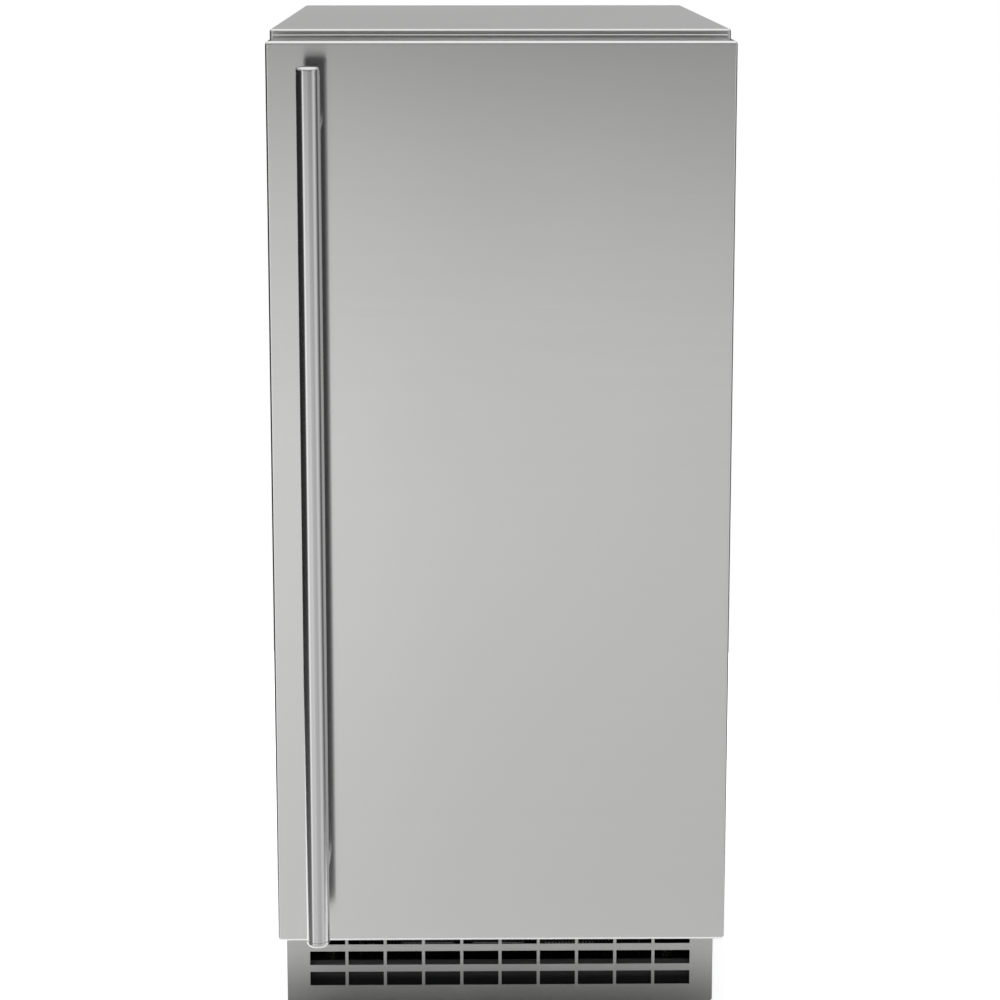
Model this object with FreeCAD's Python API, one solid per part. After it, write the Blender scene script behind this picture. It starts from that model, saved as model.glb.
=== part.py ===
import FreeCAD, Part
import math
import os

from FreeCAD import Vector

# An undercounter ice maker in millimetres: X to the right, Y to the back, Z up.
# The origin is on the floor, under the middle of the whole object.

# Overall size
width = 378.0
height = 864.0
back_y = 343.0
cabinet_front_y = -216.0
door_front_y = -276.0
door_back_y = -229.0
door_bottom_z = 102.0
door_top_z = 857.0

# Sheets and clearances
sheet = 1.2
side_sheet = 1.0
gap = 0.2
running_gap = 0.05

# Cabinet shell
half_width = width / 2
top_lip = 28.0
lip_bead_z = 858.8
lip_bead_radius = 0.8
side_x = half_width - sheet - gap
inner_x = side_x - side_sheet - gap
toe_z = 104.0
toe_y = -166.0
machine_top_z = 289.0
flange = 18.0
flange_x = side_x - side_sheet - flange
front_flange_y = cabinet_front_y + sheet + gap
rear_flange_y = 325.0
rear_panel_y = rear_flange_y + side_sheet + gap
rear_seam_z = 290.5
panel_bottom_z = 14.0

# Storage bin and its doorway
bin_x = 151.8
bin_front_y = cabinet_front_y + sheet + gap
bin_back_y = 249.8
bin_bottom_z = 292.0
bin_top_z = 826.0
bin_wall = 3.0
bin_corner = 12.0
doorway_x = 140.0
doorway_bottom_z = 425.0
doorway_top_z = 798.0
doorway_corner = 12.0

# Door hinge line and handle
hinge_x = 178.0
hinge_y = -260.0
hinge_pin_radius = 4.0
hinge_arm_half = 6.0
hinge_arm_thickness = 5.0
hinge_plate_thickness = 3.0
lower_arm_z = 142.0
upper_arm_z = 812.0
hinge_pocket = 3.0
bushing_radius = 8.0
bushing_length = 18.0
handle_x = -152.0
handle_y = -333.5
handle_radius = 9.5
handle_bottom_z = 119.7
handle_top_z = 840.0
standoff_radius = 7.0
standoff_inset = 50.0

# Kick grille
grille_y = -178.0
grille_x = 188.0
grille_bottom_z = 8.2
grille_top_z = 103.5
grille_return = 10.0
grille_columns = 10
grille_rows = 4
grille_pitch_x = 33.8
grille_pitch_z = 18.9
grille_slot_width = 31.1
grille_slot_height = 12.6
grille_first_row_z = 31.1
grille_screw_x = 178.5
grille_screw_z = 88.0
screw_head_radius = 4.0
screw_head_height = 2.2
screw_shank_radius = 2.0

# Base and legs
base_z = 18.0
base_sheet = 2.0
base_lip = 25.0
base_back_y = 324.8
leg_places = [(-150.0, -140.0), (150.0, -140.0), (-150.0, 305.0), (150.0, 305.0)]
stud_radius = 5.0
foot_radius = 16.0
foot_height = 8.0
stud_top_z = 44.0
nut_height = 8.0
nut_across_flats = 17.0

# Cold circuit
condenser_x = 125.0
condenser_front_y = -150.0
condenser_back_y = -106.0
condenser_bottom_z = 40.0
condenser_top_z = 270.0
condenser_tube_y = -128.0
condenser_tube_radius = 4.8
condenser_row_z = 55.0
condenser_rows = 9
condenser_pitch = 25.0
side_line_x = 155.0
fan_z = 155.0
fan_radius = 88.0
fan_ring_radius = 92.0
compressor_x = 30.0
compressor_y = 185.0
compressor_radius = 78.0
line_radius = 4.0
suction_z = 655.0
liquid_z = 730.0
riser_x = 105.0

# Ice making module
evaporator_x = 110.0
evaporator_depth = 28.0
evaporator_bottom_z = 640.0
evaporator_top_z = 770.0
cell_columns = 9
cell_rows = 5
cell_wall = 1.6
cheek_inner_x = 110.2
cheek_thickness = 3.5
curtain_y = -46.0
curtain_pivot_z = 785.0
curtain_pin_radius = 3.0
trough_bottom_z = 584.0
trough_top_z = 630.0
trough_front_y = -12.0
trough_back_y = 125.0
pump_x = 60.0
pump_y = 85.0
hose_x = 0.0
hose_z = 600.0
hose_radius = 5.0
distributor_y = 14.0
distributor_z = 783.0
distributor_radius = 8.0
feed_x = -60.0
feed_y = 305.0
feed_z = 660.0

# Rear panels
rear_half_width = 184.0
shoulder_z = 835.0
rear_cut_y = (320.0, 335.0)
rear_slot_columns = (-30.0, 55.0)
rear_slot_rows = 12
rear_slot_first_z = 90.0
rear_slot_pitch = 15.0
rear_slot_width = 70.0
rear_slot_height = 6.0
clear_hole_radius = 2.15
tapped_hole_radius = 2.05
foam_hole_radius = 2.4
pan_front_y = -164.0

# Rear connections
water_inlet_z = 205.0
water_inlet_radius = 5.6
drain_x = -120.0
drain_z = 60.0
drain_outlet_radius = 8.0
drain_pipe_radius = 9.0
connection_base_y = 322.0
connection_tip_y = 342.0
gland_x = 140.0
gland_z = 60.0
gland_radius = 9.0

# Controls and scoop
bezel_x = 136.0
bezel_front_y = -209.0
bezel_thickness = 4.0
bezel_bottom_z = 752.0
bezel_top_z = 796.0
housing_back_y = -130.0
control_z = 774.0
button_radius = 8.0
button_stem_radius = 3.0
power_button_x = 40.0
clean_button_x = 80.0
lens_radius = 2.5
lens_places = [-100.0, -84.0, -68.0]
holder_x = -102.0
holder_y = (-157.0, -73.0)
holder_z = (359.0, 440.0)
holder_wall = 2.0

x_axis = Vector(1, 0, 0)
y_axis = Vector(0, 1, 0)
z_axis = Vector(0, 0, 1)


def block(x_range, y_range, z_range):
    corner = Vector(x_range[0], y_range[0], z_range[0])
    far = Vector(x_range[1], y_range[1], z_range[1])
    size = far - corner
    return Part.makeBox(size.x, size.y, size.z, corner)


def both_sides(x):
    return (-x, x)


def rod(start, end, radius):
    start = Vector(*start)
    axis = Vector(*end) - start
    return Part.makeCylinder(radius, axis.Length, start, axis)


def ring(start, end, outer, inner):
    return rod(start, end, outer).cut(rod(start, end, inner))


def join(shapes):
    return shapes[0].multiFuse(shapes[1:]).removeSplitter()


def remove(shape, tools):
    return shape.cut(Part.Compound(tools))


def mirrored(shape):
    return shape.mirror(Vector(0, 0, 0), x_axis)


def edges_along(shape, axis):
    straight = [e for e in shape.Edges if e.Curve.TypeId == "Part::GeomLine"]
    return [e for e in straight if abs(e.Curve.Direction.dot(axis)) > 0.999]


def edges_at(shape, axis, level):
    return [e for e in shape.Edges if all(abs(v.Point.dot(axis) - level) < 0.001 for v in e.Vertexes)]


def rounded_block(x_range, y_range, z_range, radius, axis=z_axis):
    shape = block(x_range, y_range, z_range)
    return shape.makeFillet(radius, edges_along(shape, axis))


def bent_wire(points, bend):
    # Straight runs joined by tangent arcs, all with the same bend radius.
    corners = [Vector(*p) for p in points]
    edges = []
    start = corners[0]
    for before, corner, after in zip(corners, corners[1:], corners[2:]):
        arrive = (corner - before).normalize()
        leave = (after - corner).normalize()
        half_turn = arrive.getAngle(leave) / 2
        trim = bend * math.tan(half_turn)
        arc_start = corner - arrive * trim
        arc_end = corner + leave * trim
        inward = (leave - arrive).normalize()
        middle = corner + inward * (bend / math.cos(half_turn) - bend)
        edges.append(Part.LineSegment(start, arc_start).toShape())
        edges.append(Part.Arc(arc_start, middle, arc_end).toShape())
        start = arc_end
    edges.append(Part.LineSegment(start, corners[-1]).toShape())
    return Part.Wire(edges)


def bent_rod(points, radius, bend):
    path = bent_wire(points, bend)
    direction = Vector(*points[1]) - Vector(*points[0])
    profile = Part.Wire(Part.makeCircle(radius, Vector(*points[0]), direction))
    return path.makePipeShell([profile], True, False)


def bent_tube(points, radius, wall, bend):
    return bent_rod(points, radius, bend).cut(bent_rod(points, radius - wall, bend))


def save(name, shape):
    shape.exportStep("parts/" + name + ".step")
    print(name, round(shape.Volume / 1000, 1), "cm3", "valid" if shape.isValid() else "NOT VALID")


# ---- Cabinet shell ----

def top_panel():
    z_range = (height - top_lip, height)
    outer = rounded_block(both_sides(half_width), (cabinet_front_y, back_y), z_range, 3.0)
    outer = outer.makeFillet(2.0, edges_at(outer, z_axis, height))
    inner_half = half_width - sheet
    inner_y = (cabinet_front_y + sheet, back_y - sheet)
    inner = block(both_sides(inner_half), inner_y, (z_range[0] - 1, height - sheet))
    bead_end = half_width - 3
    start = (-bead_end, cabinet_front_y, lip_bead_z)
    bead = rod(start, (bead_end, cabinet_front_y, lip_bead_z), lip_bead_radius)
    return join([outer.cut(inner), bead])


def side_panel():
    panel_top = height - sheet - gap
    panel_back = back_y - sheet - gap
    plate = block((side_x - side_sheet, side_x), (front_flange_y, panel_back), (panel_bottom_z, panel_top))
    toe = block((side_x - 2, side_x + 1), (front_flange_y - 1, toe_y), (panel_bottom_z - 1, toe_z + 0.4))
    front_y = (front_flange_y, front_flange_y + side_sheet)
    front = block((flange_x, side_x), front_y, (toe_z + 1.6, shoulder_z))
    rear = block((flange_x, side_x), (rear_flange_y, rear_flange_y + side_sheet), (panel_bottom_z, panel_top))
    tab = block((flange_x, side_x), (toe_y, toe_y + side_sheet), (grille_screw_z - 12, toe_z - 2))
    shape = join([plate.cut(toe), front, rear, tab])
    holes = [rear_hole(x, z, tapped_hole_radius) for x, z in rear_screw_places() if x > 0]
    tab_front = (grille_screw_x, grille_y, grille_screw_z)
    holes.append(rod(tab_front, (grille_screw_x, toe_y + 10, grille_screw_z), tapped_hole_radius))
    return remove(shape, holes)


def rear_screw_places():
    levels = (52.0, 276.0, 306.0, 560.0, 822.0)
    return [(side * 177.0, z) for side in (-1, 1) for z in levels]


def rear_hole(x, z, radius):
    return rod((x, 316.0, z), (x, 335.0, z), radius)


def back_panel():
    y_range = (rear_panel_y, rear_panel_y + side_sheet)
    plate = block(both_sides(rear_half_width), y_range, (rear_seam_z + 1, shoulder_z))
    return remove(plate, [rear_hole(x, z, clear_hole_radius) for x, z in rear_screw_places()])


def rear_bore(x, z, radius):
    return rod((x, rear_cut_y[0], z), (x, rear_cut_y[1], z), radius)


def rear_cover():
    y_range = (rear_panel_y, rear_panel_y + side_sheet)
    plate = block(both_sides(rear_half_width), y_range, (16.0, rear_seam_z - 0.5))
    cuts = [rear_hole(x, z, clear_hole_radius) for x, z in rear_screw_places()]
    for column in rear_slot_columns:
        for row in range(rear_slot_rows):
            x_range = (column, column + rear_slot_width)
            z = rear_slot_first_z + row * rear_slot_pitch
            z_range = (z, z + rear_slot_height)
            cuts.append(rounded_block(x_range, rear_cut_y, z_range, rear_slot_height / 2 - 0.1, y_axis))
    cuts.append(rear_bore(feed_x, water_inlet_z, water_inlet_radius + 1.4))
    cuts.append(rear_bore(drain_x, drain_z, drain_outlet_radius + 1.5))
    cuts.append(rear_bore(gland_x, gland_z, gland_radius))
    return remove(plate, cuts)


def pan_screw(x, z, seat_y, tip_y, outward):
    # A cross-slotted pan head screw, its head standing outward from the seat.
    crown_y = seat_y + outward * screw_head_height
    head = rod((x, seat_y, z), (x, crown_y, z), screw_head_radius)
    head = head.makeFillet(1.0, edges_at(head, y_axis, crown_y))
    slot_y = sorted((seat_y + outward * screw_head_height / 2, crown_y + outward))
    slots = [block((x - 2.4, x + 2.4), slot_y, (z - 0.5, z + 0.5))]
    slots.append(block((x - 0.5, x + 0.5), slot_y, (z - 2.4, z + 2.4)))
    return remove(join([head, rod((x, seat_y, z), (x, tip_y, z), screw_shank_radius)]), slots)


def cabinet_screws():
    # Ten hold the two rear panels, and two hold the kick grille behind the door's lower edge.
    seat_y = rear_panel_y + side_sheet
    screws = [pan_screw(x, z, seat_y, 318.0, 1) for x, z in rear_screw_places()]
    screws += [pan_screw(x, grille_screw_z, grille_y, -156.0, -1) for x in both_sides(grille_screw_x)]
    return Part.Compound(screws)


def cord_gland():
    bore_radius = 4.0
    cover_back_y = rear_panel_y + side_sheet
    body = ring((gland_x, 321.0, gland_z), (gland_x, 331.0, gland_z), gland_radius - 0.1, bore_radius)
    flange_radius = gland_radius + 3
    front = ring((gland_x, 323.0, gland_z), (gland_x, rear_panel_y, gland_z), flange_radius, bore_radius)
    back = ring((gland_x, cover_back_y, gland_z), (gland_x, 330.0, gland_z), flange_radius, bore_radius)
    return join([body, front, back])


def front_frame():
    y_range = (cabinet_front_y, cabinet_front_y + sheet)
    plate = block(both_sides(side_x), y_range, (machine_top_z + 0.5, height - top_lip - 0.5))
    z_range = (doorway_bottom_z, doorway_top_z)
    y_range = (cabinet_front_y - 1, cabinet_front_y + 3)
    return plate.cut(rounded_block(both_sides(doorway_x), y_range, z_range, doorway_corner, y_axis))


def lower_front_panel():
    plate = block(both_sides(side_x), (cabinet_front_y, cabinet_front_y + sheet), (toe_z, machine_top_z))
    shelf = block(both_sides(inner_x), (cabinet_front_y, -168.0), (toe_z, toe_z + sheet))
    return join([plate, shelf])


def kick_grille():
    y_range = (grille_y, grille_y + grille_return)
    outer = rounded_block(both_sides(grille_x), y_range, (grille_bottom_z, grille_top_z), 3.0, y_axis)
    outer = outer.makeFillet(1.0, edges_at(outer, y_axis, grille_y))
    inner_z = (grille_bottom_z + sheet, grille_top_z - sheet)
    inner_y = (grille_y + sheet, grille_y + grille_return + 1)
    inner = rounded_block(both_sides(grille_x - sheet), inner_y, inner_z, 1.8, y_axis)
    cuts = [inner]
    for column in range(grille_columns):
        x = (column - (grille_columns - 1) / 2) * grille_pitch_x
        for row in range(grille_rows):
            z = grille_first_row_z + row * grille_pitch_z
            x_range = (x - grille_slot_width / 2, x + grille_slot_width / 2)
            z_range = (z - grille_slot_height / 2, z + grille_slot_height / 2)
            cuts.append(block(x_range, (grille_y - 1, grille_y + 2), z_range))
    for x in both_sides(grille_screw_x):
        hole_end = (x, grille_y + 3, grille_screw_z)
        cuts.append(rod((x, grille_y - 1, grille_screw_z), hole_end, clear_hole_radius))
    return remove(outer, cuts)


def liner_block(inset):
    x = bin_x - inset
    y_range = (bin_front_y - max(inset, 0), bin_back_y - inset)
    shape = block(both_sides(x), y_range, (bin_bottom_z + inset, bin_top_z - inset))
    front = y_range[0]
    free = [e for e in shape.Edges if not all(abs(v.Y - front) < 0.001 for v in e.Vertexes)]
    return shape.makeFillet(bin_corner - inset, free)


def bin_drain(radius, z_range):
    return rod((feed_x, 40.0, z_range[0]), (feed_x, 40.0, z_range[1]), radius)


def bin_liner():
    # A tub lying on its back: closed behind, and open at the front, where it meets the front frame.
    shell = liner_block(0).cut(liner_block(bin_wall))
    shell = join([shell, bin_drain(11.0, (280.0, bin_bottom_z + 1))])
    back = (bin_back_y - 8, bin_back_y + 2)
    cuts = [bin_drain(8.0, (279.0, 300.0))]
    cuts.append(rod((riser_x, back[0], suction_z), (riser_x, back[1], suction_z), line_radius + 0.3))
    cuts.append(rod((riser_x, back[0], liquid_z), (riser_x, back[1], liquid_z), line_radius + 0.3))
    cuts.append(rod((feed_x, back[0], feed_z), (feed_x, back[1], feed_z), line_radius + 0.3))
    return remove(shell, cuts)


def cabinet_foam():
    front = front_flange_y + side_sheet + gap
    fill = block(both_sides(inner_x), (front, rear_flange_y - gap), (machine_top_z + 1, height - sheet - gap))
    cuts = [liner_block(-0.1), bin_drain(11.3, (280.0, 300.0))]
    cuts.append(block((riser_x - 7, riser_x + 7), (bin_back_y - 8, 292.0), (280.0, liquid_z + 8)))
    cuts.append(block((feed_x - 7, feed_x + 7), (bin_back_y - 8, feed_y + 7), (280.0, feed_z + 8)))
    cuts.extend(rear_hole(x, z, foam_hole_radius) for x, z in rear_screw_places())
    return remove(fill, cuts)


# ---- Base and legs ----

def base_pan():
    outer = block(both_sides(inner_x), (pan_front_y, base_back_y), (base_z, base_z + base_lip))
    inner_half = inner_x - base_sheet
    inner_y = (pan_front_y + base_sheet, base_back_y - base_sheet)
    inner = block(both_sides(inner_half), inner_y, (base_z + base_sheet, 60.0))
    top = base_z + base_sheet
    nuts = [hexagon(x, y, top - 0.5, nut_across_flats, nut_height) for x, y in leg_places]
    holes = [rod((x, y, 10.0), (x, y, 40.0), stud_radius + running_gap) for x, y in leg_places]
    vents = [rounded_block((x, x + 50), (-60.0, -54.0), (10.0, 30.0), 2.9) for x in (-90.0, -25.0, 40.0)]
    return remove(join([outer.cut(inner)] + nuts), holes + vents)


def hexagon(x, y, z, across_flats, length):
    reach = across_flats / math.sqrt(3)
    turns = [math.radians(60 * k) for k in range(7)]
    outline = Part.makePolygon([Vector(x + reach * math.cos(t), y + reach * math.sin(t), z) for t in turns])
    return Part.Face(outline).extrude(Vector(0, 0, length))


def leveling_leg(x, y):
    foot = rod((x, y, 0.0), (x, y, foot_height), foot_radius)
    foot = foot.makeChamfer(1.5, edges_at(foot, z_axis, foot_height))
    grip = hexagon(x, y, foot_height, 14.0, 5.0)
    stud = rod((x, y, foot_height), (x, y, stud_top_z), stud_radius)
    return join([foot, grip, stud])


# ---- Cold circuit ----

def compressor():
    middle = (compressor_x, compressor_y)
    shell = rod((*middle, 43.0), (*middle, 226.0), compressor_radius)
    shell = shell.makeFillet(40.0, edges_at(shell, z_axis, 226.0))
    shell = shell.makeFillet(24.0, edges_at(shell, z_axis, 43.0))
    seam = rod((*middle, 138.0), (*middle, 142.0), compressor_radius + 2)
    x_range = (compressor_x - 88, compressor_x + 88)
    y_range = (compressor_y - 84, compressor_y + 84)
    plate = rounded_block(x_range, y_range, (40.0, 43.5), 14.0)
    holes = [rod((x, y, 38.0), (x, y, 46.0), 5.0) for x, y in grommet_places()]
    stubs = []
    for turn, z, reach in ((217.0, 150.0, 92.0), (46.5, 170.0, 90.0), (120.0, 170.0, 100.0)):
        direction = Vector(math.cos(math.radians(turn)), math.sin(math.radians(turn)), 0)
        near = Vector(*middle, z) + direction * 70
        far = Vector(*middle, z) + direction * reach
        stubs.append(rod(tuple(near), tuple(far), line_radius + 1))
    return remove(join([shell, seam, plate] + stubs), holes)


def port(turn, z, reach):
    x = compressor_x + reach * math.cos(math.radians(turn))
    y = compressor_y + reach * math.sin(math.radians(turn))
    return (x, y, z)


def grommet_places():
    return [(compressor_x + sx * 74, compressor_y + sy * 70) for sx in (-1, 1) for sy in (-1, 1)]


def compressor_grommets():
    feet = []
    for x, y in grommet_places():
        foot = rod((x, y, base_z + base_sheet), (x, y, 40.0), 11.0)
        foot = join([foot, rod((x, y, 39.0), (x, y, 46.0), 4.8), rod((x, y, 43.6), (x, y, 48.0), 8.0)])
        feet.append(foot)
    return Part.Compound(feet)


def terminal_cover():
    x_range = (compressor_x + 60, compressor_x + 104)
    cover = rounded_block(x_range, (compressor_y - 40, compressor_y), (100.0, 160.0), 5.0, x_axis)
    middle = (compressor_x, compressor_y)
    return cover.cut(rod((*middle, 50.0), (*middle, 230.0), compressor_radius + 2.2))


def condenser_route():
    # From the discharge side at the top left, down through the core row by row, to the drier on the right.
    top = condenser_row_z + (condenser_rows - 1) * condenser_pitch
    turn_x = condenser_x + 15.0
    points = [(-side_line_x, -90.0, top), (-side_line_x, condenser_tube_y, top)]
    side = 1
    for row in range(condenser_rows - 1):
        z = top - row * condenser_pitch
        points.append((side * turn_x, condenser_tube_y, z))
        points.append((side * turn_x, condenser_tube_y, z - condenser_pitch))
        side = -side
    points.append((side_line_x, condenser_tube_y, condenser_row_z))
    points.append((side_line_x, -60.0, condenser_row_z))
    return points


def condenser_core():
    z_range = (condenser_bottom_z, condenser_top_z)
    core = block(both_sides(condenser_x), (condenser_front_y, condenser_back_y), z_range)
    bores = []
    for row in range(condenser_rows):
        z = condenser_row_z + row * condenser_pitch
        ends = [(x, condenser_tube_y, z) for x in both_sides(condenser_x + 1)]
        bores.append(rod(ends[0], ends[1], condenser_tube_radius + running_gap))
    return remove(core, bores)


def condenser_tubes():
    return bent_tube(condenser_route(), condenser_tube_radius, 0.8, 12.0)


def fan_shroud():
    z_range = (condenser_bottom_z, condenser_top_z)
    plate = block(both_sides(condenser_x), (-105.0, -102.0), z_range)
    rim = ring((0, -103.0, fan_z), (0, -70.0, fan_z), fan_ring_radius + 2, fan_ring_radius)
    mouth = rod((0, -110.0, fan_z), (0, -100.0, fan_z), fan_ring_radius)
    return join([plate.cut(mouth), rim])


def fan_motor():
    body = rod((0, -60.0, fan_z), (0, -12.0, fan_z), 30.0)
    body = body.makeFillet(4.0, edges_at(body, y_axis, -12.0))
    arm = block((20.0, fan_ring_radius + 2), (-69.8, -66.0), (fan_z - 6, fan_z + 6))
    link = block((20.0, 28.0), (-69.8, -58.0), (fan_z - 6, fan_z + 6))
    parts = [body]
    for turn in (0, 120, 240):
        for piece in (arm, link):
            turned = piece.copy()
            turned.rotate(Vector(0, 0, fan_z), y_axis, turn)
            parts.append(turned)
    bore = rod((0, -61.0, fan_z), (0, -30.0, fan_z), 3.0 + running_gap)
    return join(parts).cut(bore)


def fan_blade():
    hub = rod((0, -96.0, fan_z), (0, -76.0, fan_z), 20.0)
    hub = hub.makeFillet(3.0, edges_at(hub, y_axis, -96.0))
    shaft = rod((0, -78.0, fan_z), (0, -32.0, fan_z), 3.0)
    parts = [hub, shaft]
    for number in range(5):
        blade = block((16.0, fan_radius), (-0.9, 0.9), (-22.0, 22.0))
        blade = blade.makeFillet(10.0, [e for e in edges_along(blade, y_axis) if e.Vertexes[0].X > 50])
        blade.rotate(Vector(0, 0, 0), x_axis, -25)
        blade.translate(Vector(0, -86.0, fan_z))
        blade.rotate(Vector(0, 0, fan_z), y_axis, 72 * number)
        parts.append(blade)
    return join(parts)


def filter_drier():
    body = rod((side_line_x, -60.0, condenser_row_z), (side_line_x, 40.0, condenser_row_z), 11.0)
    ends = edges_at(body, y_axis, -60.0) + edges_at(body, y_axis, 40.0)
    return body.makeFillet(6.0, ends)


def discharge_line():
    top = condenser_row_z + (condenser_rows - 1) * condenser_pitch
    start = port(217.0, 150.0, 92.0)
    points = [start, port(217.0, 150.0, 150.0), (-side_line_x, 60.0, 200.0)]
    points += [(-side_line_x, -30.0, top), (-side_line_x, -90.0, top)]
    return bent_tube(points, line_radius, 0.8, 16.0)


def liquid_line():
    points = [(side_line_x, 40.0, condenser_row_z), (side_line_x, 110.0, condenser_row_z)]
    points += [(side_line_x, 190.0, 130.0), (side_line_x, 284.0, 190.0), (riser_x, 284.0, 240.0)]
    points += [(riser_x, 284.0, liquid_z), (riser_x, 252.0, liquid_z)]
    return bent_tube(points, line_radius, 0.8, 14.0)


def suction_line():
    points = [(riser_x, 252.0, suction_z), (riser_x, 266.0, suction_z), (riser_x, 266.0, 170.0)]
    points.append(port(46.5, 170.0, 91.5))
    return bent_tube(points, line_radius, 0.8, 9.0)


# ---- Ice making module ----

def evaporator_grid():
    z_range = (evaporator_bottom_z, evaporator_top_z)
    body = block(both_sides(evaporator_x), (0.0, evaporator_depth), z_range)
    pitch_x = (2 * evaporator_x - cell_wall) / cell_columns
    pitch_z = (evaporator_top_z - evaporator_bottom_z - cell_wall) / cell_rows
    cells = []
    for column in range(cell_columns):
        x = -evaporator_x + cell_wall + column * pitch_x
        for row in range(cell_rows):
            z = evaporator_bottom_z + cell_wall + row * pitch_z
            x_range = (x, x + pitch_x - cell_wall)
            z_range = (z, z + pitch_z - cell_wall)
            cells.append(block(x_range, (-1.0, evaporator_depth - 2), z_range))
    return remove(body, cells)


def evaporator_tubing():
    tube_y = evaporator_depth + line_radius + 0.4
    end_x = 95.0
    points = [(riser_x, 252.0, suction_z), (riser_x, tube_y, suction_z)]
    rows = 4
    pitch = (liquid_z - suction_z) / (rows - 1)
    side = -1
    for row in range(rows - 1):
        z = suction_z + row * pitch
        points.append((side * end_x, tube_y, z))
        points.append((side * end_x, tube_y, z + pitch))
        side = -side
    points += [(riser_x, tube_y, liquid_z), (riser_x, 252.0, liquid_z)]
    return bent_tube(points, line_radius, 0.8, 12.0)


def evaporator_frame():
    cheek_x = (cheek_inner_x, cheek_inner_x + cheek_thickness)
    top = 806.0
    cheek = rounded_block(cheek_x, (-58.0, 130.0), (580.0, top), 10.0, x_axis)
    ledge_z = (581.0, trough_bottom_z - 0.1)
    ledge = block((cheek_inner_x - 10, cheek_x[1]), (trough_front_y, trough_back_y), ledge_z)
    bridge = block(both_sides(cheek_x[1]), (30.0, 120.0), (top - 3, top))
    ceiling_z = bin_top_z - bin_wall - 0.1
    posts = [rod((x, y, top - 1), (x, y, ceiling_z), 6.0) for x in (-90, 90) for y in (45, 105)]
    pivot = ((-120.0, curtain_y, curtain_pivot_z), (120.0, curtain_y, curtain_pivot_z))
    shape = join([cheek, mirrored(cheek), ledge, mirrored(ledge), bridge] + posts)
    holder = [rod((s * 100.0, distributor_y, distributor_z), (s * 120.0, distributor_y, distributor_z),
                  distributor_radius - 3.9) for s in (-1, 1)]
    return remove(shape, [rod(pivot[0], pivot[1], curtain_pin_radius + running_gap)] + holder)


def water_distributor():
    place = (distributor_y, distributor_z)
    tube = rod((-106.0, *place), (106.0, *place), distributor_radius)
    pegs = rod((-112.0, *place), (112.0, *place), 4.0)
    spigot = rod((hose_x, distributor_y, distributor_z), (hose_x, 40.0, distributor_z), 6.0)
    hollow = rod((-103.0, *place), (103.0, *place), distributor_radius - 2)
    bore = rod((hose_x, distributor_y, distributor_z), (hose_x, 41.0, distributor_z), 4.0)
    holes = []
    for number in range(18):
        x = -97.75 + number * 11.5
        holes.append(rod((x, *place), (x, distributor_y, distributor_z - 12), 1.2))
    return remove(join([tube, pegs, spigot]), [hollow, bore] + holes)


def water_trough():
    half = evaporator_x - 0.4
    z_range = (trough_bottom_z, trough_top_z)
    outer = rounded_block(both_sides(half), (trough_front_y, trough_back_y), z_range, 8.0)
    y_range = (trough_front_y + 2, trough_back_y - 2)
    inner = rounded_block(both_sides(half - 2), y_range, (trough_bottom_z + 2, trough_top_z + 1), 6.0)
    return outer.cut(inner)


def pump_body():
    place = (pump_x, pump_y)
    motor = rod((*place, 650.0), (*place, 712.0), 26.0)
    motor = motor.makeFillet(4.0, edges_at(motor, z_axis, 712.0))
    shelf = rounded_block((pump_x - 34, pump_x + 34), (pump_y - 32, pump_y + 32), (646.0, 650.0), 6.0)
    stem = rod((*place, 612.0), (*place, 648.0), 9.0)
    volute = rod((*place, 588.0), (*place, 613.0), 19.0)
    spigot = rod((pump_x, pump_y, hose_z), (28.0, pump_y, hose_z), 6.0)
    chamber = rod((*place, 587.0), (*place, 607.0), 16.0)
    outlet = rod((pump_x, pump_y, hose_z), (27.0, pump_y, hose_z), 3.5)
    bore = rod((*place, 600.0), (*place, 680.0), 2.5 + running_gap)
    return remove(join([motor, shelf, stem, volute, spigot]), [chamber, outlet, bore])


def pump_impeller():
    place = (pump_x, pump_y)
    disc = rod((*place, 603.0), (*place, 605.0), 13.0)
    shaft = rod((*place, 592.0), (*place, 678.0), 2.5)
    parts = [disc, shaft]
    for turn in range(0, 360, 60):
        vane = block((2.0, 13.0), (-0.8, 0.8), (593.0, 604.0))
        vane.rotate(Vector(0, 0, 0), z_axis, turn)
        vane.translate(Vector(pump_x, pump_y, 0))
        parts.append(vane)
    return join(parts)


def recirculation_hose():
    points = [(28.0, pump_y, hose_z), (hose_x, pump_y, hose_z), (hose_x, pump_y, distributor_z)]
    points.append((hose_x, 40.0, distributor_z))
    return bent_tube(points, hose_radius + 1, 1.5, 24.0)


def water_curtain():
    y_range = (curtain_y - 1.5, curtain_y + 1.5)
    panel = rounded_block(both_sides(106.0), y_range, (632.0, curtain_pivot_z), 6.0, y_axis)
    barrel = rod((-106.0, curtain_y, curtain_pivot_z), (106.0, curtain_y, curtain_pivot_z), 4.5)
    pins = rod((-113.4, curtain_y, curtain_pivot_z), (113.4, curtain_y, curtain_pivot_z), curtain_pin_radius)
    toe = block(both_sides(100.0), (curtain_y, curtain_y + 8), (632.0, 634.5))
    ribs = [block((x - 1, x + 1), (curtain_y - 4, curtain_y), (640.0, 776.0)) for x in (-70, 0, 70)]
    return join([panel, barrel, pins, toe] + ribs)


# ---- Water circuit in the machine space ----

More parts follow.
